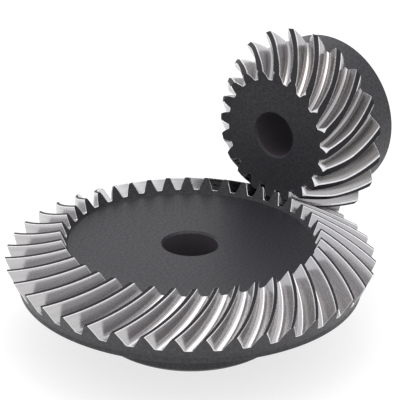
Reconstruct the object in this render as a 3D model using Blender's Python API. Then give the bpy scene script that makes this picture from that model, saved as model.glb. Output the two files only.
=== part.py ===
"""A right-angle spiral bevel gear pair: a 40-tooth gear and its 20-tooth pinion.

The crossing point of the two shaft axes, which is the common apex of both pitch
cones, is the world origin.  The gear turns on Z and hangs below the origin with
its toothed face up.  The pinion turns on X and points away from the origin along
+X.  A thin thrust washer lies behind each hub.  Lengths are in metres.
"""

import math

import bmesh
import bpy

# ---------------------------------------------------------------- tooth system
MODULE = 0.003                      # outer transverse module
TEETH_GEAR = 40
TEETH_PINION = 20
FACE_WIDTH = 0.020                  # along the pitch cone
PRESSURE_ANGLE = math.radians(20)   # normal pressure angle
SPIRAL_ANGLE = math.radians(35)     # at the middle of the face
CUTTER_RADIUS = 0.050               # the arc that the teeth follow lengthwise
ADDENDUM_GEAR = 0.5575 * MODULE
ADDENDUM_PINION = 1.1425 * MODULE
DEDENDUM_GEAR = 1.40 * MODULE
DEDENDUM_PINION = 0.7455 * MODULE
GEAR_TOOTH_HEEL = 0.00300           # gear tooth thickness on the pitch cone, outer end
GEAR_TOOTH_TOE = 0.00250            # the same at the inner end
BACKLASH = 0.00030                  # at the outer pitch circle, both flanks together
TOE_DROP = 0.00105                  # pinion tips are turned down this much at the toe
TOE_DROP_LENGTH = 0.0080            # over this length of the face
TOE_LEAN = 0.30                     # tilt of the pinion's toe ends towards a flat face
ROOT_FILLET = 0.00045
MESH_PHASE = math.radians(-1.44)    # how far the gear is turned at rest

# ---------------------------------------------------------------- blanks
GEAR_BORE_R = 0.0090
GEAR_HUB_R = 0.0310
GEAR_WEB_Z = -0.0248                # flat toothed-side face
GEAR_RIM_R = 0.0564
GEAR_RIM_Z = -0.0388                # flat back of the rim
GEAR_MOUNTING = 0.0560              # apex to the back of the hub
PINION_BORE_R = 0.0075
PINION_HUB_R = 0.0270
PINION_FACE_X = 0.0430              # flat small face
PINION_MOUNTING = 0.0740            # apex to the back of the hub
BORE_CHAMFER = 0.0007
HUB_CHAMFER = 0.0010
HUB_FILLET = 0.0015

# ---------------------------------------------------------------- thrust washers
WASHER_GAP = 0.0003
WASHER_T = 0.0010
GEAR_WASHER_R = 0.0280
PINION_WASHER_R = 0.0225
WASHER_BORE_CLEARANCE = 0.0004

# ---------------------------------------------------------------- resolution
STATIONS = 5                        # steps along the face width
FLANK_STEPS = 2                     # steps up each flank

GEAR_PITCH = math.atan2(TEETH_GEAR, TEETH_PINION)
PINION_PITCH = math.pi / 2 - GEAR_PITCH
OUTER_CONE = MODULE * TEETH_GEAR / 2 / math.sin(GEAR_PITCH)
INNER_CONE = OUTER_CONE - FACE_WIDTH
MEAN_CONE = OUTER_CONE - FACE_WIDTH / 2
CUTTER_OFFSET = math.sqrt(MEAN_CONE ** 2 + CUTTER_RADIUS ** 2
                          - 2 * MEAN_CONE * CUTTER_RADIUS * math.sin(SPIRAL_ANGLE))


def crown_angle(rho):
    """Polar angle of the tooth trace on the flat crown gear at cone distance rho."""
    c = (rho ** 2 + CUTTER_OFFSET ** 2 - CUTTER_RADIUS ** 2) / (2 * rho * CUTTER_OFFSET)
    return math.acos(c)


def transverse_pressure(rho):
    """Transverse pressure angle, which follows the local spiral angle."""
    s = (rho ** 2 + CUTTER_RADIUS ** 2 - CUTTER_OFFSET ** 2) / (2 * rho * CUTTER_RADIUS)
    return math.atan(math.tan(PRESSURE_ANGLE) / math.sqrt(1 - s * s))


def involute(theta, base):
    """Azimuth that a spherical involute has gained at cone angle theta."""
    return (math.acos(math.cos(theta) / math.cos(base)) / math.sin(base)
            - math.acos(min(1.0, math.tan(base) / math.tan(theta))))


def gear_thickness(rho):
    """Arc thickness of a gear tooth on the pitch cone at cone distance rho."""
    t = (rho - INNER_CONE) / FACE_WIDTH
    return GEAR_TOOTH_TOE + t * (GEAR_TOOTH_HEEL - GEAR_TOOTH_TOE)


class Toothing:
    """The toothed part of one member, in spherical coordinates about the apex."""

    def __init__(self, teeth, pitch, addendum, dedendum, is_gear):
        self.teeth = teeth
        self.pitch = pitch
        self.tip = pitch + math.atan(addendum / OUTER_CONE)
        self.root = pitch - math.atan(dedendum / OUTER_CONE)
        self.is_gear = is_gear

    def half_angle(self, theta, rho):
        """Half the angular thickness of a tooth at cone angle theta."""
        base = math.asin(math.sin(self.pitch) * math.cos(transverse_pressure(rho)))
        thick = gear_thickness(rho)
        if not self.is_gear:
            scale = rho / OUTER_CONE
            thick = (math.pi * MODULE - BACKLASH) * scale - thick
        at_pitch = thick / (2 * rho * math.sin(self.pitch))
        return at_pitch + involute(self.pitch, base) - involute(theta, base)

    def tip_at(self, u):
        """Tip cone angle, lowered near the toe of the pinion."""
        if self.is_gear:
            return self.tip
        near_toe = max(0.0, 1 - (u - INNER_CONE) / TOE_DROP_LENGTH)
        return self.tip - TOE_DROP * near_toe / u

    def end_shift(self, theta, u):
        """How far the toe ends of the pinion lean along the teeth."""
        if self.is_gear:
            return 0.0
        near_toe = 1 - (u - INNER_CONE) / FACE_WIDTH
        return near_toe * TOE_LEAN * (theta - self.root) * u

    def twist(self, rho):
        return (crown_angle(rho) - crown_angle(MEAN_CONE)) / math.sin(self.pitch)

    def section(self, u):
        """One tooth and its root land at cone distance u: (radius, axial, azimuth)."""
        fillet = ROOT_FILLET / u
        tip = self.tip_at(u)
        heights = [self.root + fillet + (tip - self.root - fillet) * i / FLANK_STEPS
                   for i in range(FLANK_STEPS + 1)]
        outline = [(self.root, fillet / math.sin(self.root))]
        outline += [(theta, 0.0) for theta in heights]
        out = []
        for side, points in ((-1, outline), (1, outline[::-1])):
            for theta, foot in points:
                across = u + self.end_shift(theta, u)
                rho = across / math.cos(theta - self.pitch)
                half = self.half_angle(theta, rho) + foot
                radius, axial = self.point(across, theta)
                out.append((radius, axial, side * half + self.twist(rho)))
        return out

    def point(self, u, theta):
        """Radius and axial distance of a point on the cone through u across the teeth."""
        rho = u / math.cos(theta - self.pitch)
        return rho * math.sin(theta), rho * math.cos(theta)


def gear_point(radius, axial, azimuth):
    return (radius * math.cos(azimuth), radius * math.sin(azimuth), -axial)


def pinion_point(radius, axial, azimuth):
    return (axial, radius * math.sin(azimuth), -radius * math.cos(azimuth))


def add_fan(bm, outer, inner, flip):
    """Triangles between two closed rings whose vertices carry an azimuth."""
    i = j = 0
    n, m = len(outer), len(inner)
    while i < n or j < m:
        next_outer = outer[(i + 1) % n][0] + (2 * math.pi if i + 1 >= n else 0)
        next_inner = inner[(j + 1) % m][0] + (2 * math.pi if j + 1 >= m else 0)
        a = outer[i % n][1]
        b = inner[j % m][1]
        if j >= m or (i < n and next_outer <= next_inner):
            face = [a, outer[(i + 1) % n][1], b]
            i += 1
        else:
            face = [a, inner[(j + 1) % m][1], b]
            j += 1
        bm.faces.new(face[::-1] if flip else face)


def ring(bm, place, radius, axial, start, count):
    """A closed ring of vertices, each with its azimuth."""
    out = []
    for i in range(count):
        azimuth = start + 2 * math.pi * i / count
        out.append((azimuth, bm.verts.new(place(radius, axial, azimuth))))
    return out


def add_band(bm, first, second, flip):
    """Quads between two rings with the same number of vertices."""
    n = len(first)
    for i in range(n):
        k = (i + 1) % n
        face = [first[i][1], first[k][1], second[k][1], second[i][1]]
        bm.faces.new(face[::-1] if flip else face)


def cone_inside(toothing, u, radius):
    """Axial distance at a radius on the end cone that crosses the teeth at u."""
    r0, a0 = toothing.point(u, toothing.root)
    return a0 + (r0 - radius) * math.tan(toothing.pitch)


def build_member(name, toothing, place, phase, front, back, sides, flip):
    """The toothed blank: front and back are (radius, axial) profiles to the bore."""
    bm = bmesh.new()
    pitch_angle = 2 * math.pi / toothing.teeth
    rings = []
    for j in range(STATIONS + 1):
        u = INNER_CONE + FACE_WIDTH * j / STATIONS
        section = toothing.section(u)
        verts = []
        for k in range(toothing.teeth):
            for radius, axial, azimuth in section:
                turned = azimuth + phase + k * pitch_angle
                verts.append((turned, bm.verts.new(place(radius, axial, turned))))
        rings.append(verts)
    for toe_side, heel_side in zip(rings, rings[1:]):
        add_band(bm, toe_side, heel_side, flip)
    count = toothing.teeth * sides
    last = {}
    for end, profile, turned_over in ((rings[0], front, not flip), (rings[-1], back, flip)):
        start = end[0][0]
        previous = ring(bm, place, *profile[0], start, count)
        add_fan(bm, end, previous, turned_over)
        for radius, axial in profile[1:]:
            following = ring(bm, place, radius, axial, start, count)
            add_band(bm, previous, following, turned_over)
            previous = following
        last[turned_over] = previous
    add_fan(bm, last[flip], last[not flip], flip)
    return finish(name, bm)


def finish(name, bm):
    """Turns a bmesh into an object whose origin is the shaft crossing point."""
    bmesh.ops.triangulate(bm, faces=bm.faces[:], quad_method="SHORT_EDGE")
    bmesh.ops.recalc_face_normals(bm, faces=bm.faces[:])
    mesh = bpy.data.meshes.new(name)
    bm.to_mesh(mesh)
    bm.free()
    mesh.shade_smooth()
    mesh.set_sharp_from_angle(angle=math.radians(24))
    obj = bpy.data.objects.new(name, mesh)
    bpy.context.scene.collection.objects.link(obj)
    return obj


def build_washer(name, place, inner, outer, near, sides):
    """A flat ring between two axial distances."""
    bm = bmesh.new()
    corners = [(inner, near), (outer, near), (outer, near + WASHER_T), (inner, near + WASHER_T)]
    rings = [ring(bm, place, radius, axial, 0.0, sides) for radius, axial in corners]
    for i in range(4):
        add_band(bm, rings[i], rings[(i + 1) % 4], False)
    return finish(name, bm)


def material(name, colour, metallic, roughness):
    mat = bpy.data.materials.new(name)
    mat.use_nodes = True
    shader = mat.node_tree.nodes["Principled BSDF"]
    shader.inputs["Base Color"].default_value = (*colour, 1.0)
    shader.inputs["Metallic"].default_value = metallic
    shader.inputs["Roughness"].default_value = roughness
    mat.diffuse_color = (*colour, 1.0)
    return mat


def gear_profiles(toothing):
    """Front and back outlines of the gear blank, from the teeth in to the bore."""
    r0, a0 = toothing.point(INNER_CONE, toothing.root)
    face_r = r0 - (-GEAR_WEB_Z - a0) / math.tan(toothing.pitch)
    front = [(face_r, -GEAR_WEB_Z),
             (GEAR_BORE_R + BORE_CHAMFER, -GEAR_WEB_Z),
             (GEAR_BORE_R, -GEAR_WEB_Z + BORE_CHAMFER)]
    back = [(GEAR_RIM_R, cone_inside(toothing, OUTER_CONE, GEAR_RIM_R)),
            (GEAR_RIM_R, -GEAR_RIM_Z),
            (GEAR_HUB_R + HUB_FILLET, -GEAR_RIM_Z),
            (GEAR_HUB_R, -GEAR_RIM_Z + HUB_FILLET),
            (GEAR_HUB_R, GEAR_MOUNTING - HUB_CHAMFER),
            (GEAR_HUB_R - HUB_CHAMFER, GEAR_MOUNTING),
            (GEAR_BORE_R + BORE_CHAMFER, GEAR_MOUNTING),
            (GEAR_BORE_R, GEAR_MOUNTING - BORE_CHAMFER)]
    return front, back


def pinion_profiles(toothing):
    """Front and back outlines of the pinion blank, from the teeth in to the bore."""
    r0, a0 = toothing.point(INNER_CONE, toothing.root)
    face_r = r0 - (PINION_FACE_X - a0) / math.tan(toothing.pitch - math.atan(TOE_LEAN))
    front = [(face_r, PINION_FACE_X),
             (PINION_BORE_R + BORE_CHAMFER, PINION_FACE_X),
             (PINION_BORE_R, PINION_FACE_X + BORE_CHAMFER)]
    back = [(PINION_HUB_R, cone_inside(toothing, OUTER_CONE, PINION_HUB_R)),
            (PINION_HUB_R, PINION_MOUNTING - HUB_CHAMFER),
            (PINION_HUB_R - HUB_CHAMFER, PINION_MOUNTING),
            (PINION_BORE_R + BORE_CHAMFER, PINION_MOUNTING),
            (PINION_BORE_R, PINION_MOUNTING - BORE_CHAMFER)]
    return front, back


def main():
    for old in list(bpy.data.objects):
        bpy.data.objects.remove(old, do_unlink=True)

    gear_teeth = Toothing(TEETH_GEAR, GEAR_PITCH, ADDENDUM_GEAR, DEDENDUM_GEAR, True)
    pinion_teeth = Toothing(TEETH_PINION, PINION_PITCH, ADDENDUM_PINION, DEDENDUM_PINION,
                            False)
    half_pitch = math.pi / TEETH_PINION

    front, back = gear_profiles(gear_teeth)
    gear = build_member("spiral_bevel_gear", gear_teeth, gear_point, MESH_PHASE,
                        front, back, 2, True)
    front, back = pinion_profiles(pinion_teeth)
    ratio = TEETH_GEAR / TEETH_PINION
    pinion = build_member("spiral_bevel_pinion", pinion_teeth, pinion_point,
                          ratio * MESH_PHASE + half_pitch, front, back, 3, False)
    gear_washer = build_washer("gear_thrust_washer", gear_point,
                               GEAR_BORE_R + WASHER_BORE_CLEARANCE, GEAR_WASHER_R,
                               GEAR_MOUNTING + WASHER_GAP, 64)
    pinion_washer = build_washer("pinion_thrust_washer", pinion_point,
                                 PINION_BORE_R + WASHER_BORE_CLEARANCE, PINION_WASHER_R,
                                 PINION_MOUNTING + WASHER_GAP, 64)

    gear.data.materials.append(material("gear_steel", (0.30, 0.29, 0.29), 1.0, 0.35))
    pinion.data.materials.append(material("pinion_steel", (0.29, 0.28, 0.28), 1.0, 0.35))
    gear_washer.data.materials.append(material("gear_washer_steel", (0.42, 0.41, 0.40), 1.0, 0.40))
    pinion_washer.data.materials.append(
        material("pinion_washer_steel", (0.43, 0.42, 0.41), 1.0, 0.40))


main()
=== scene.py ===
"""Looks of a right-angle spiral bevel gear pair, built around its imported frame.

Both members get fine involute flanks, rounded root fillets and broken edges, and their
blanks get rounded corners and chamfers.  The blank is black oxide, and the teeth are
bright where the cutter has been: on the flanks, the fillets and the root lands.
Lengths are in metres, and the origin is the crossing point of the two shaft axes.
"""

import math

import bmesh
import bpy
from mathutils import Euler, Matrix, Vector


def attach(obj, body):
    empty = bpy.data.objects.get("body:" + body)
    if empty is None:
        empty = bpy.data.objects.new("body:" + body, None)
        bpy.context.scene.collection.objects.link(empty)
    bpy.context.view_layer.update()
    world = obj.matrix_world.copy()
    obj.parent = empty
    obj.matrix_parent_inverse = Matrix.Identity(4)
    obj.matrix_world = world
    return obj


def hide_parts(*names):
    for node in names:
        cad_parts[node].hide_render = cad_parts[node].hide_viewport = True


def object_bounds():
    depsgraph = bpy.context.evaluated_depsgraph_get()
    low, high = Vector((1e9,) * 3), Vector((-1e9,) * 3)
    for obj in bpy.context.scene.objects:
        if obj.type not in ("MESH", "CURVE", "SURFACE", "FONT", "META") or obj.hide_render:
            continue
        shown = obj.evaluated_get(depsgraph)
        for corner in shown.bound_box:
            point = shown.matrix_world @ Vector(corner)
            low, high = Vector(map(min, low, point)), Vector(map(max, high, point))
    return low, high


# ---------------------------------------------------------------- tooth system, as in the frame
MODULE = 0.003
TEETH_GEAR = 40
TEETH_PINION = 20
FACE_WIDTH = 0.020
PRESSURE_ANGLE = math.radians(20)
SPIRAL_ANGLE = math.radians(35)
CUTTER_RADIUS = 0.050
ADDENDUM_GEAR = 0.5575 * MODULE
ADDENDUM_PINION = 1.1425 * MODULE
DEDENDUM_GEAR = 1.40 * MODULE
DEDENDUM_PINION = 0.7455 * MODULE
GEAR_TOOTH_HEEL = 0.00300
GEAR_TOOTH_TOE = 0.00250
BACKLASH = 0.00030
TOE_DROP = 0.00105
TOE_DROP_LENGTH = 0.0080
TOE_LEAN = 0.30
MESH_PHASE = math.radians(-1.44)

# ---------------------------------------------------------------- blanks, as in the frame
GEAR_BORE_R = 0.0090
GEAR_HUB_R = 0.0310
GEAR_WEB_Z = -0.0248
GEAR_RIM_R = 0.0564
GEAR_RIM_Z = -0.0388
GEAR_MOUNTING = 0.0560
PINION_BORE_R = 0.0075
PINION_HUB_R = 0.0270
PINION_FACE_X = 0.0430
PINION_MOUNTING = 0.0740
BORE_CHAMFER = 0.0007
HUB_CHAMFER = 0.0010
HUB_FILLET = 0.0015
WASHER_GAP = 0.0003
WASHER_T = 0.0010
GEAR_WASHER_R = 0.0280
PINION_WASHER_R = 0.0225
WASHER_BORE_CLEARANCE = 0.0004

# ---------------------------------------------------------------- finish of the edges
EDGE_BREAK = 0.00010                # on every tooth edge
GEAR_EDGE_DROP = 0.00022            # how far the break at the lands reaches down a flank
PINION_EDGE_DROP = 0.00040
GEAR_FILLET = 0.00050               # tooth root radii
PINION_FILLET = 0.00040
TOE_CUT_ALONG = 0.0012              # chamfer of the pinion's acute toe edges, at the tip
TOE_CUT_ACROSS = 0.0007
CORNER_R = 0.00025                  # rounding of the turned corners
WASHER_EDGE = 0.00015

# ---------------------------------------------------------------- resolution
STATIONS = 26                       # steps along the face width
FLANK_STEPS = 8
FILLET_STEPS = 4
CORNER_STEPS = 4
GEAR_SIDES = 240
PINION_SIDES = 200
SMOOTH_ANGLE = math.radians(28)

# ---------------------------------------------------------------- camera, light and floor
CAMERA_AIM = Vector((0.0074, 0.0024, -0.0125))
CAMERA_DISTANCE = 0.7297
CAMERA_AZIMUTH = math.radians(-50.12)
CAMERA_ELEVATION = math.radians(24.34)
CAMERA_ROLL = math.radians(0.61)
CAMERA_LENS = 200.2                 # for a 36 mm wide sensor
FLOOR_GAP = 0.0002
FLOOR_SIZE = 6.0
FLOOR_GREY = 0.32
FLOOR_GLOW = 0.72                   # keeps the floor white, with a faint shadow
SURROUND_COLOUR = (0.975, 0.976, 1.015)
SURROUND_STRENGTH = 1.035
OVERHEAD_PLACE = Vector((0.05, 0.05, 0.90))
OVERHEAD_AIM = Vector((0, 0, -0.03))
OVERHEAD_SIZE = 0.70
OVERHEAD_WATTS = 2.4
OVERHEAD_COLOUR = (1.0, 0.985, 0.955)

# ---------------------------------------------------------------- finishes, as (dark, light)
COAT_TINT = ((0.0140, 0.0132, 0.0158), (0.0285, 0.0270, 0.0315))
# the lands get a darker copy of the coat's colour: painted shade
LAND_SHADE_TINT = ((0.008, 0.0075, 0.0092), (0.022, 0.0210, 0.0245))
BORE_TINT = ((0.046, 0.0395, 0.046), (0.056, 0.0485, 0.056))
GEAR_CUT_TINT = ((0.45, 0.441, 0.444), (0.52, 0.510, 0.513))
PINION_CUT_TINT = ((0.37, 0.359, 0.357), (0.515, 0.502, 0.499))
# lighter than the cut flanks: a painted highlight that makes the broken edges glint
EDGE_GLINT_TINT = ((0.74, 0.73, 0.72), (0.90, 0.89, 0.88))
GROUND_TINT = ((0.42, 0.41, 0.40), (0.45, 0.44, 0.43))
GEAR_GLOSS = 0.44                   # specular level of the coat
PINION_GLOSS = 0.36
GLOSS_SPREAD = 0.14                 # how far the grain varies it, as a share
LAND_GLOSS = 0.22
BORE_GLOSS = 0.15
BORE_ROUGHNESS = 0.75
FLOOR_ROUGHNESS = 0.9
NOISE_LOW = 0.3                     # nearly all of a noise texture lies between these
NOISE_HIGH = 0.7
GRAIN_BUMP = 0.00002                # heights of the surface marks
TURNED_BUMP = 0.000006
CUTTER_BUMP = 0.000006
GROUND_BUMP = 0.000008

# ---------------------------------------------------------------- what follows from these
GEAR_PITCH = math.atan2(TEETH_GEAR, TEETH_PINION)
PINION_PITCH = math.pi / 2 - GEAR_PITCH
OUTER_CONE = MODULE * TEETH_GEAR / 2 / math.sin(GEAR_PITCH)
INNER_CONE = OUTER_CONE - FACE_WIDTH
MEAN_CONE = OUTER_CONE - FACE_WIDTH / 2
CUTTER_OFFSET = math.sqrt(MEAN_CONE ** 2 + CUTTER_RADIUS ** 2
                          - 2 * MEAN_CONE * CUTTER_RADIUS * math.sin(SPIRAL_ANGLE))
BLACK, LAND, CUT, EDGE, BORE = range(5)    # material slots of a gear
X_AXIS, Z_AXIS = 0, 2                      # axis of the pinion, axis of the gear


def crown_angle(rho):
    """Polar angle of the tooth trace on the flat crown gear at cone distance rho."""
    c = (rho ** 2 + CUTTER_OFFSET ** 2 - CUTTER_RADIUS ** 2) / (2 * rho * CUTTER_OFFSET)
    return math.acos(c)


def transverse_pressure(rho):
    """Transverse pressure angle, which follows the local spiral angle."""
    s = (rho ** 2 + CUTTER_RADIUS ** 2 - CUTTER_OFFSET ** 2) / (2 * rho * CUTTER_RADIUS)
    return math.atan(math.tan(PRESSURE_ANGLE) / math.sqrt(1 - s * s))


def involute(theta, base):
    """Azimuth that a spherical involute has gained at cone angle theta."""
    theta = max(theta, base)
    return (math.acos(min(1.0, math.cos(theta) / math.cos(base))) / math.sin(base)
            - math.acos(min(1.0, math.tan(base) / math.tan(theta))))


def gear_thickness(rho):
    """Arc thickness of a gear tooth on the pitch cone at cone distance rho."""
    t = (rho - INNER_CONE) / FACE_WIDTH
    return GEAR_TOOTH_TOE + t * (GEAR_TOOTH_HEEL - GEAR_TOOTH_TOE)


class Toothing:
    """The toothed part of one member, in spherical coordinates about the apex."""

    def __init__(self, teeth, pitch, addendum, dedendum, is_gear):
        self.teeth = teeth
        self.pitch = pitch
        self.tip = pitch + math.atan(addendum / OUTER_CONE)
        self.root = pitch - math.atan(dedendum / OUTER_CONE)
        self.is_gear = is_gear
        self.fillet = GEAR_FILLET if is_gear else PINION_FILLET
        self.edge_drop = GEAR_EDGE_DROP if is_gear else PINION_EDGE_DROP

    def half_angle(self, theta, rho):
        """Half the angular thickness of a tooth at cone angle theta."""
        base = math.asin(math.sin(self.pitch) * math.cos(transverse_pressure(rho)))
        thick = gear_thickness(rho)
        if not self.is_gear:
            scale = rho / OUTER_CONE
            thick = (math.pi * MODULE - BACKLASH) * scale - thick
        at_pitch = thick / (2 * rho * math.sin(self.pitch))
        return at_pitch + involute(self.pitch, base) - involute(theta, base)

    def tip_at(self, u):
        """Tip cone angle, lowered near the toe of the pinion."""
        if self.is_gear:
            return self.tip
        near_toe = max(0.0, 1 - (u - INNER_CONE) / TOE_DROP_LENGTH)
        return self.tip - TOE_DROP * near_toe / u

    def end_shift(self, theta, u):
        """How far the toe ends of the pinion lean along the teeth."""
        if self.is_gear:
            return 0.0
        near_toe = 1 - (u - INNER_CONE) / FACE_WIDTH
        return near_toe * TOE_LEAN * (theta - self.root) * u

    def twist(self, rho):
        """Azimuth of the tooth trace at cone distance rho, from mid face."""
        return (crown_angle(rho) - crown_angle(MEAN_CONE)) / math.sin(self.pitch)

    def point(self, u, theta):
        """Radius and axial distance of a point on the cone through u across the teeth."""
        rho = u / math.cos(theta - self.pitch)
        return rho * math.sin(theta), rho * math.cos(theta)

    def outline(self, u, inset):
        """One flank from its foot to the land: (cone angle, azimuth outside the involute)."""
        root = self.root - inset / u
        tip = self.tip_at(u) - inset / u
        fillet = self.fillet / u
        top = tip - self.edge_drop / u
        out = []
        for i in range(FILLET_STEPS):
            turn = math.pi / 2 * i / FILLET_STEPS
            foot = fillet * (1 - math.sin(turn)) / math.sin(root)
            out.append((root + fillet * (1 - math.cos(turn)), foot))
        for i in range(FLANK_STEPS + 1):
            out.append((root + fillet + (top - root - fillet) * i / FLANK_STEPS, 0.0))
        out.append((tip, -EDGE_BREAK / (u * math.sin(tip))))
        return [(theta, foot - inset / (u * math.sin(theta))) for theta, foot in out]

    def toe_cut(self, side, theta, u, inset):
        """What the toe chamfer takes off: (distance along the tooth, distance across it)."""
        if self.is_gear or side > 0:
            return 0.0, 0.0
        height = max(0.0, (theta - self.root) / (self.tip - self.root))
        if inset > 0 and u < MEAN_CONE:
            return 0.0, height * TOE_CUT_ACROSS
        return height * TOE_CUT_ALONG * (OUTER_CONE - u) / FACE_WIDTH, 0.0

    def section(self, u, inset=0.0):
        """One tooth at cone distance u, from foot to foot: (radius, axial, azimuth)."""
        outline = self.outline(u, inset)
        sides = {}
        for side in (-1, 1):
            sides[side] = []
            for theta, foot in outline:
                along, across = self.toe_cut(side, theta, u, inset)
                end = u + self.end_shift(theta, u) + along
                rho = end / math.cos(theta - self.pitch)
                half = self.half_angle(theta, rho) + foot - across / (u * math.sin(theta))
                radius, axial = self.point(end, theta)
                sides[side].append((radius, axial, side * half + self.twist(rho)))
        left, right = sides[-1], sides[1]
        land = [(a + b) / 2 for a, b in zip(left[-1], right[-1])]
        return left + [land] + right[::-1]


def gear_point(radius, axial, azimuth):
    """A point of the gear, which points down from the apex."""
    return (radius * math.cos(azimuth), radius * math.sin(azimuth), -axial)


def pinion_point(radius, axial, azimuth):
    """A point of the pinion, which points along X from the apex."""
    return (axial, radius * math.sin(azimuth), -radius * math.cos(azimuth))


class Skin:
    """A closed mesh under construction, with a slot and a cut coordinate for each face.

    The cut coordinate is (arc length round the tooth outline, distance along the tooth).
    """

    def __init__(self, place):
        self.place = place
        self.bm = bmesh.new()
        self.cut = self.bm.loops.layers.float_vector.new("cut")

    def vert(self, radius, axial, azimuth):
        """A vertex, as a pair of its azimuth and itself."""
        return azimuth, self.bm.verts.new(self.place(radius, axial, azimuth))

    def ring(self, radius, axial, start, count):
        """A closed circle of vertices."""
        step = 2 * math.pi / count
        return [self.vert(radius, axial, start + step * i) for i in range(count)]

    def face(self, corners, slot=BLACK, cut=None):
        """One face, with a cut coordinate at each corner where it is given."""
        made = self.bm.faces.new([vertex for _, vertex in corners])
        made.material_index = slot
        if cut is not None:
            for loop, value in zip(made.loops, cut):
                loop[self.cut] = value

    def band(self, first, second):
        """Four-sided faces between two closed rings of the same length."""
        n = len(first)
        for i in range(n):
            k = (i + 1) % n
            self.face([first[i], first[k], second[k], second[i]])

    def fan(self, outer, inner, slot=BLACK):
        """Triangles between two closed rings, which may differ in their number of vertices."""
        turn = 2 * math.pi
        i = j = 0
        n, m = len(outer), len(inner)
        while i < n or j < m:
            next_outer = outer[(i + 1) % n][0] + (turn if i + 1 >= n else 0)
            next_inner = inner[(j + 1) % m][0] + (turn if j + 1 >= m else 0)
            a, b = outer[i % n], inner[j % m]
            if j >= m or (i < n and next_outer <= next_inner):
                self.face([a, outer[(i + 1) % n], b], slot)
                i += 1
            else:
                self.face([a, inner[(j + 1) % m], b], slot)
                j += 1

    def finish(self, name):
        """The mesh as an object, smooth but for its sharp edges."""
        bmesh.ops.recalc_face_normals(self.bm, faces=self.bm.faces[:])
        mesh = bpy.data.meshes.new(name)
        self.bm.to_mesh(mesh)
        self.bm.free()
        mesh.shade_smooth()
        mesh.set_sharp_from_angle(angle=SMOOTH_ANGLE)
        obj = bpy.data.objects.new(name, mesh)
        bpy.context.scene.collection.objects.link(obj)
        return obj


def rounded(profile):
    """A (radius, axial, corner radius) profile with each corner turned into an arc."""
    out = []
    for before, here, after in zip(profile, profile[1:], profile[2:]):
        corner = Vector(here[:2])
        back = (Vector(before[:2]) - corner).normalized()
        ahead = (Vector(after[:2]) - corner).normalized()
        half = back.angle(ahead) / 2
        if here[2] == 0:
            out.append(tuple(corner))
            continue
        centre = corner + (back + ahead).normalized() * (here[2] / math.sin(half))
        start = corner + back * (here[2] / math.tan(half)) - centre
        end = corner + ahead * (here[2] / math.tan(half)) - centre
        for i in range(CORNER_STEPS + 1):
            part = start.slerp(end, i / CORNER_STEPS)
            out.append(tuple(centre + part.normalized() * here[2]))
    return out


def outline_arc(skin, toothing):
    """Arc length at each point of one tooth's outline, from its foot to the next tooth's."""
    outline = toothing.section(MEAN_CONE)
    radius, axial, azimuth = outline[0]
    next_foot = (radius, axial, azimuth + 2 * math.pi / toothing.teeth)
    points = [Vector(skin.place(*point)) for point in outline + [next_foot]]
    arc = [0.0]
    for a, b in zip(points, points[1:]):
        arc.append(arc[-1] + (b - a).length)
    return arc


def tooth_rings(skin, toothing, phase):
    """Rings of vertices along the face width, joined by faces, and the vertices per tooth."""
    pitch_angle = 2 * math.pi / toothing.teeth
    places = [(INNER_CONE, EDGE_BREAK)]
    for j in range(STATIONS + 1):
        share = j / STATIONS
        inner, outer = INNER_CONE + EDGE_BREAK, OUTER_CONE - EDGE_BREAK
        places.append((inner + (outer - inner) * share, 0.0))
    places.append((OUTER_CONE, EDGE_BREAK))
    rings = []
    for u, inset in places:
        section = toothing.section(u, inset)
        rings.append([skin.vert(radius, axial, azimuth + phase + k * pitch_angle)
                      for k in range(toothing.teeth)
                      for radius, axial, azimuth in section])

    arc = outline_arc(skin, toothing)
    n = len(arc) - 1
    land = (n // 2 - 1, n // 2)
    edges = (land[0] - 1, land[1] + 1)
    for j in range(len(rings) - 1):
        toe, heel = rings[j], rings[j + 1]
        near, far = places[j][0], places[j + 1][0]
        for i in range(len(toe)):
            tooth, spot = divmod(i, n)
            k = (i + 1) % len(toe)
            first = tooth * arc[-1] + arc[spot]
            second = tooth * arc[-1] + arc[spot + 1]
            cut = [(first, near, 0), (second, near, 0), (second, far, 0), (first, far, 0)]
            at_end = j in (0, len(rings) - 2)
            slot = LAND if spot in land else EDGE if at_end or spot in edges else CUT
            skin.face([toe[i], toe[k], heel[k], heel[i]], slot, cut)
    return rings, n


def close_end(skin, toothing, ring, n, u):
    """The end faces of the teeth, which have n vertices each.  Returns the ring of their feet."""
    outline = toothing.outline(u, EDGE_BREAK)
    feet = []
    for k in range(toothing.teeth):
        tooth = ring[k * n:(k + 1) * n]
        left, land, right = tooth[:n // 2], tooth[n // 2], tooth[:n // 2:-1]
        rungs = []
        for i in range(n // 2 - 1):
            theta = outline[i][0]
            radius, axial = toothing.point(u + toothing.end_shift(theta, u), theta)
            rungs.append(skin.vert(radius, axial, (left[i][0] + right[i][0]) / 2))
        rungs.append(land)
        for i in range(n // 2 - 1):
            skin.face([left[i], left[i + 1], rungs[i + 1], rungs[i]])
            skin.face([rungs[i], rungs[i + 1], right[i + 1], right[i]])
        feet += [left[0], rungs[0], right[0]]
    return feet


def build_member(name, toothing, place, phase, front, back, sides):
    """A toothed blank.  front and back are rounded profiles from the teeth to the bore."""
    skin = Skin(place)
    rings, n = tooth_rings(skin, toothing, phase)
    last = []
    for end, u, profile in ((rings[0], INNER_CONE, front), (rings[-1], OUTER_CONE, back)):
        feet = close_end(skin, toothing, end, n, u)
        previous = skin.ring(*profile[0], feet[0][0], sides)
        skin.fan(feet, previous)
        for radius, axial in profile[1:]:
            following = skin.ring(radius, axial, feet[0][0], sides)
            skin.band(previous, following)
            previous = following
        last.append(previous)
    skin.fan(*last, BORE)
    return skin.finish(name)


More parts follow.
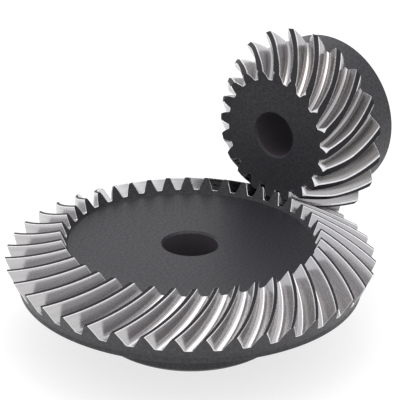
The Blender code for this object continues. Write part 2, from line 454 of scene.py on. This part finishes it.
def build_washer(name, place, inner, outer, near, sides):
    """A flat ring with rounded edges."""
    skin = Skin(place)
    far = near + WASHER_T
    corners = [(inner, near), (outer, near), (outer, far), (inner, far)]
    loop = [(*corner, WASHER_EDGE) for corner in corners]
    outline = rounded([loop[-1]] + loop + [loop[0]])
    rings = [skin.ring(radius, axial, 0.0, sides) for radius, axial in outline]
    for first, second in zip(rings, rings[1:] + rings[:1]):
        skin.band(first, second)
    return skin.finish(name)


def cone_inside(toothing, u, radius):
    """Axial distance at a radius on the end cone that crosses the teeth at u."""
    r0, a0 = toothing.point(u, toothing.root)
    return a0 + (r0 - radius) * math.tan(toothing.pitch)


def gear_profiles(toothing):
    """Front and back outlines of the gear blank, from the teeth in to the bore."""
    web = -GEAR_WEB_Z
    rim = -GEAR_RIM_Z
    toe = toothing.point(INNER_CONE, toothing.root)
    heel = toothing.point(OUTER_CONE, toothing.root)
    face_r = toe[0] - (web - toe[1]) / math.tan(toothing.pitch)
    front = rounded([
        (*toe, 0),
        (face_r, web, CORNER_R),
        (GEAR_HUB_R, web, 0),
        (GEAR_BORE_R + BORE_CHAMFER, web, 0),
        (GEAR_BORE_R, web + BORE_CHAMFER, 0),
        (GEAR_BORE_R, GEAR_MOUNTING, 0)])
    back = rounded([
        (*heel, 0),
        (GEAR_RIM_R, cone_inside(toothing, OUTER_CONE, GEAR_RIM_R), CORNER_R),
        (GEAR_RIM_R, rim, CORNER_R),
        (GEAR_HUB_R, rim, HUB_FILLET),
        (GEAR_HUB_R, GEAR_MOUNTING - HUB_CHAMFER, CORNER_R),
        (GEAR_HUB_R - HUB_CHAMFER, GEAR_MOUNTING, CORNER_R),
        (GEAR_BORE_R + BORE_CHAMFER, GEAR_MOUNTING, 0),
        (GEAR_BORE_R, GEAR_MOUNTING - BORE_CHAMFER, 0),
        (GEAR_BORE_R, web, 0)])
    return front, back


def pinion_profiles(toothing):
    """Front and back outlines of the pinion blank, from the teeth in to the bore."""
    toe = toothing.point(INNER_CONE, toothing.root)
    heel = toothing.point(OUTER_CONE, toothing.root)
    lean = toothing.pitch - math.atan(TOE_LEAN)
    face_r = toe[0] - (PINION_FACE_X - toe[1]) / math.tan(lean)
    front = rounded([
        (*toe, 0),
        (face_r, PINION_FACE_X, 0),
        (PINION_BORE_R + BORE_CHAMFER, PINION_FACE_X, 0),
        (PINION_BORE_R, PINION_FACE_X + BORE_CHAMFER, 0),
        (PINION_BORE_R, PINION_MOUNTING, 0)])
    back = rounded([
        (*heel, 0),
        (PINION_HUB_R, cone_inside(toothing, OUTER_CONE, PINION_HUB_R), CORNER_R),
        (PINION_HUB_R, PINION_MOUNTING - HUB_CHAMFER, CORNER_R),
        (PINION_HUB_R - HUB_CHAMFER, PINION_MOUNTING, CORNER_R),
        (PINION_BORE_R + BORE_CHAMFER, PINION_MOUNTING, 0),
        (PINION_BORE_R, PINION_MOUNTING - BORE_CHAMFER, 0),
        (PINION_BORE_R, PINION_FACE_X, 0)])
    return front, back


class Nodes:
    """Short calls for building a material's node tree."""

    def __init__(self, name):
        self.material = bpy.data.materials.new(name)
        self.material.use_nodes = True
        self.tree = self.material.node_tree
        self.shader = self.tree.nodes["Principled BSDF"]

    def add(self, kind, **settings):
        """A new node of a kind, with its own properties set."""
        node = self.tree.nodes.new(kind)
        for key, value in settings.items():
            setattr(node, key, value)
        return node

    def link(self, source, target):
        self.tree.links.new(source, target)

    def noise(self, vector, scale, detail, stretch=(1, 1, 1)):
        """Noise of a scale per metre, on a vector that is scaled by stretch first."""
        mapping = self.add("ShaderNodeMapping")
        mapping.inputs["Scale"].default_value = stretch
        self.link(vector, mapping.inputs["Vector"])
        texture = self.add("ShaderNodeTexNoise")
        texture.inputs["Scale"].default_value = scale
        texture.inputs["Detail"].default_value = detail
        self.link(mapping.outputs["Vector"], texture.inputs["Vector"])
        return texture.outputs["Fac"]

    def spread(self, value, low, high):
        """A value near one half turned into a range."""
        node = self.add("ShaderNodeMapRange")
        node.inputs["From Min"].default_value = NOISE_LOW
        node.inputs["From Max"].default_value = NOISE_HIGH
        node.inputs["To Min"].default_value = low
        node.inputs["To Max"].default_value = high
        self.link(value, node.inputs["Value"])
        return node.outputs["Result"]

    def tint(self, value, dark, light):
        """A colour between two, by a value near one half."""
        node = self.add("ShaderNodeMix", data_type="RGBA")
        node.inputs["A"].default_value = (*dark, 1)
        node.inputs["B"].default_value = (*light, 1)
        self.link(self.spread(value, 0, 1), node.inputs["Factor"])
        return node.outputs["Result"]

    def bump(self, height, distance, under=None):
        """A bumped normal, on top of another one where it is given."""
        node = self.add("ShaderNodeBump")
        node.inputs["Distance"].default_value = distance
        self.link(height, node.inputs["Height"])
        if under is not None:
            self.link(under, node.inputs["Normal"])
        return node.outputs["Normal"]

    def axis_radius(self, axis):
        """A vector whose x is the distance from an axis through the origin."""
        place = self.add("ShaderNodeTexCoord")
        flat = self.add("ShaderNodeVectorMath", operation="MULTIPLY")
        flat.inputs[1].default_value = [0 if i == axis else 1 for i in range(3)]
        self.link(place.outputs["Object"], flat.inputs[0])
        length = self.add("ShaderNodeVectorMath", operation="LENGTH")
        self.link(flat.outputs["Vector"], length.inputs[0])
        both = self.add("ShaderNodeCombineXYZ")
        self.link(length.outputs["Value"], both.inputs["X"])
        return both.outputs["Vector"]

    def object_place(self):
        """Place on the object, in metres."""
        return self.add("ShaderNodeTexCoord").outputs["Object"]


def black_oxide(name, axis, gloss):
    """Satin black conversion coat over turned steel."""
    m = Nodes(name)
    place = m.object_place()
    grain = m.noise(place, 1250, 3)
    turned = m.noise(m.axis_radius(axis), 5200, 2)
    dull, bright = (1 - GLOSS_SPREAD) * gloss, (1 + GLOSS_SPREAD) * gloss
    m.link(m.tint(grain, *COAT_TINT), m.shader.inputs["Base Color"])
    m.link(m.spread(grain, 0.54, 0.40), m.shader.inputs["Roughness"])
    m.link(m.spread(grain, dull, bright), m.shader.inputs["Specular IOR Level"])
    normal = m.bump(grain, GRAIN_BUMP, m.bump(turned, TURNED_BUMP))
    m.link(normal, m.shader.inputs["Normal"])
    return m.material


def shaded_land_black(name):
    """The coat on the narrow lands of the teeth, duller than on the blank and darker in colour as
    painted shade.
    """
    m = Nodes(name)
    grain = m.noise(m.object_place(), 1700, 3)
    m.link(m.tint(grain, *LAND_SHADE_TINT), m.shader.inputs["Base Color"])
    m.link(m.spread(grain, 0.50, 0.62), m.shader.inputs["Roughness"])
    m.shader.inputs["Specular IOR Level"].default_value = LAND_GLOSS
    return m.material


def bore_black(name):
    """The same coat, dull and untouched inside the bores."""
    m = Nodes(name)
    grain = m.noise(m.object_place(), 1900, 2)
    m.link(m.tint(grain, *BORE_TINT), m.shader.inputs["Base Color"])
    m.shader.inputs["Roughness"].default_value = BORE_ROUGHNESS
    m.shader.inputs["Specular IOR Level"].default_value = BORE_GLOSS
    return m.material


def cut_steel(name, tint):
    """Bright milled steel with the cutter's marks, fine across the teeth and long down them."""
    m = Nodes(name)
    cut = m.add("ShaderNodeAttribute", attribute_name="cut").outputs["Vector"]
    marks = m.noise(cut, 1, 2, (2600, 30, 1))
    broad = m.noise(cut, 1, 2, (700, 60, 1))
    m.link(m.tint(broad, *tint), m.shader.inputs["Base Color"])
    m.link(m.spread(marks, 0.20, 0.30), m.shader.inputs["Roughness"])
    m.link(m.bump(marks, CUTTER_BUMP), m.shader.inputs["Normal"])
    m.shader.inputs["Metallic"].default_value = 1.0
    return m.material


def edge_glint_steel(name):
    """Steel along the broken tooth edges, lighter in colour than the cut flanks as a painted
    highlight that makes them glint.
    """
    m = Nodes(name)
    glint_grain = m.noise(m.object_place(), 900, 2)
    m.link(m.tint(glint_grain, *EDGE_GLINT_TINT), m.shader.inputs["Base Color"])
    m.link(m.spread(glint_grain, 0.34, 0.22), m.shader.inputs["Roughness"])
    m.shader.inputs["Metallic"].default_value = 1.0
    return m.material


def ground_steel(name, axis):
    """Plain ground steel of a washer."""
    m = Nodes(name)
    rings = m.noise(m.axis_radius(axis), 4000, 2)
    cloud = m.noise(m.object_place(), 120, 3)
    m.link(m.tint(cloud, *GROUND_TINT), m.shader.inputs["Base Color"])
    m.link(m.spread(rings, 0.28, 0.40), m.shader.inputs["Roughness"])
    m.link(m.bump(rings, GROUND_BUMP), m.shader.inputs["Normal"])
    m.shader.inputs["Metallic"].default_value = 1.0
    return m.material


def build_gears():
    """The gear and the pinion, turned so that their teeth mesh."""
    gear_teeth = Toothing(TEETH_GEAR, GEAR_PITCH, ADDENDUM_GEAR, DEDENDUM_GEAR, True)
    pinion_teeth = Toothing(TEETH_PINION, PINION_PITCH, ADDENDUM_PINION, DEDENDUM_PINION,
                            False)
    gear = build_member("gear_fine", gear_teeth, gear_point, MESH_PHASE,
                        *gear_profiles(gear_teeth), GEAR_SIDES)
    ratio = TEETH_GEAR / TEETH_PINION
    pinion = build_member("pinion_fine", pinion_teeth, pinion_point,
                          ratio * MESH_PHASE + math.pi / TEETH_PINION,
                          *pinion_profiles(pinion_teeth), PINION_SIDES)
    return gear, pinion


def build_washers():
    """The setting washers behind the two hubs."""
    gear_washer = build_washer("gear_washer_fine", gear_point,
                               GEAR_BORE_R + WASHER_BORE_CLEARANCE, GEAR_WASHER_R,
                               GEAR_MOUNTING + WASHER_GAP, GEAR_SIDES)
    pinion_washer = build_washer("pinion_washer_fine", pinion_point,
                                 PINION_BORE_R + WASHER_BORE_CLEARANCE, PINION_WASHER_R,
                                 PINION_MOUNTING + WASHER_GAP, PINION_SIDES)
    return gear_washer, pinion_washer


def finish_gears(gear, pinion):
    """Materials of both members, in the order of their slots."""
    edge, bore = edge_glint_steel("edge_glint_steel"), bore_black("bore_black")
    land = shaded_land_black("shaded_land_black")
    for member, looks in (
            (gear, [black_oxide("gear_black_oxide", Z_AXIS, GEAR_GLOSS), land,
                    cut_steel("gear_cut_steel", GEAR_CUT_TINT)]),
            (pinion, [black_oxide("pinion_black_oxide", X_AXIS, PINION_GLOSS), land,
                      cut_steel("pinion_cut_steel", PINION_CUT_TINT)])):
        for material in looks + [edge, bore]:
            member.data.materials.append(material)


def build_pair():
    """The two gears and their washers, each standing for its node."""
    gear, pinion = build_gears()
    gear_washer, pinion_washer = build_washers()
    finish_gears(gear, pinion)
    gear_washer.data.materials.append(ground_steel("gear_washer_steel_fine", Z_AXIS))
    pinion_washer.data.materials.append(ground_steel("pinion_washer_steel_fine", X_AXIS))

    for piece, body, node, slot in (
            (gear, "gear", "spiral_bevel_gear", "gear_steel"),
            (pinion, "pinion", "spiral_bevel_pinion", "pinion_steel"),
            (gear_washer, "mounting", "gear_thrust_washer", "gear_washer_steel"),
            (pinion_washer, "mounting", "pinion_thrust_washer", "pinion_washer_steel")):
        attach(piece, body)
        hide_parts(node)


def build_floor(height):
    """A plain white floor."""
    half = FLOOR_SIZE / 2
    corners = [(-half, -half, height), (half, -half, height),
               (half, half, height), (-half, half, height)]
    mesh = bpy.data.meshes.new("floor")
    mesh.from_pydata(corners, [], [(0, 1, 2, 3)])
    floor = bpy.data.objects.new("floor", mesh)
    bpy.context.scene.collection.objects.link(floor)
    m = Nodes("floor_white")
    m.shader.inputs["Base Color"].default_value = (FLOOR_GREY, FLOOR_GREY, FLOOR_GREY, 1)
    m.shader.inputs["Roughness"].default_value = FLOOR_ROUGHNESS
    m.shader.inputs["Emission Color"].default_value = (1, 1, 1, 1)
    m.shader.inputs["Emission Strength"].default_value = FLOOR_GLOW
    mesh.materials.append(m.material)


def build_overhead():
    """A soft round light above the pair."""
    light = bpy.data.lights.new("overhead", "AREA")
    light.shape = "DISK"
    light.size = OVERHEAD_SIZE
    light.energy = OVERHEAD_WATTS
    light.color = OVERHEAD_COLOUR
    obj = bpy.data.objects.new("overhead", light)
    obj.location = OVERHEAD_PLACE
    down = OVERHEAD_AIM - OVERHEAD_PLACE
    obj.rotation_euler = down.to_track_quat("-Z", "Y").to_euler()
    bpy.context.scene.collection.objects.link(obj)


def build_studio():
    """White surroundings with a soft light overhead."""
    scene = bpy.context.scene
    world = bpy.data.worlds.new("studio")
    scene.world = world
    world.use_nodes = True
    surround = world.node_tree.nodes["Background"]
    surround.inputs["Color"].default_value = (*SURROUND_COLOUR, 1)
    surround.inputs["Strength"].default_value = SURROUND_STRENGTH
    build_overhead()
    scene.view_settings.view_transform = "Standard"


def build_camera():
    """The camera, aimed from its azimuth and elevation."""
    azimuth, elevation = CAMERA_AZIMUTH, CAMERA_ELEVATION
    back = Vector((math.sin(azimuth) * math.cos(elevation),
                   -math.cos(azimuth) * math.cos(elevation),
                   math.sin(elevation)))
    data = bpy.data.cameras.new("camera")
    data.lens = CAMERA_LENS
    data.clip_start = 0.01
    camera = bpy.data.objects.new("camera", data)
    camera.location = CAMERA_AIM + back * CAMERA_DISTANCE
    level = (-back).to_track_quat("-Z", "Y")
    camera.rotation_mode = "QUATERNION"
    camera.rotation_quaternion = level @ Euler((0, 0, CAMERA_ROLL)).to_quaternion()
    bpy.context.scene.collection.objects.link(camera)
    bpy.context.scene.camera = camera


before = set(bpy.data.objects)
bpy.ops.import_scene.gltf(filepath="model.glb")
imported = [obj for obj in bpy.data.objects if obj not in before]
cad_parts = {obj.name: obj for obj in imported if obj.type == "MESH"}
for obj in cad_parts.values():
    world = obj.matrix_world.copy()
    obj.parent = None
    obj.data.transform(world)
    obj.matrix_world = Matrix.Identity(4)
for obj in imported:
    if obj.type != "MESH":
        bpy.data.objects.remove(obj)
cad_low, cad_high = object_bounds()

build_camera()
build_studio()
build_pair()
build_floor(cad_low.z - FLOOR_GAP)
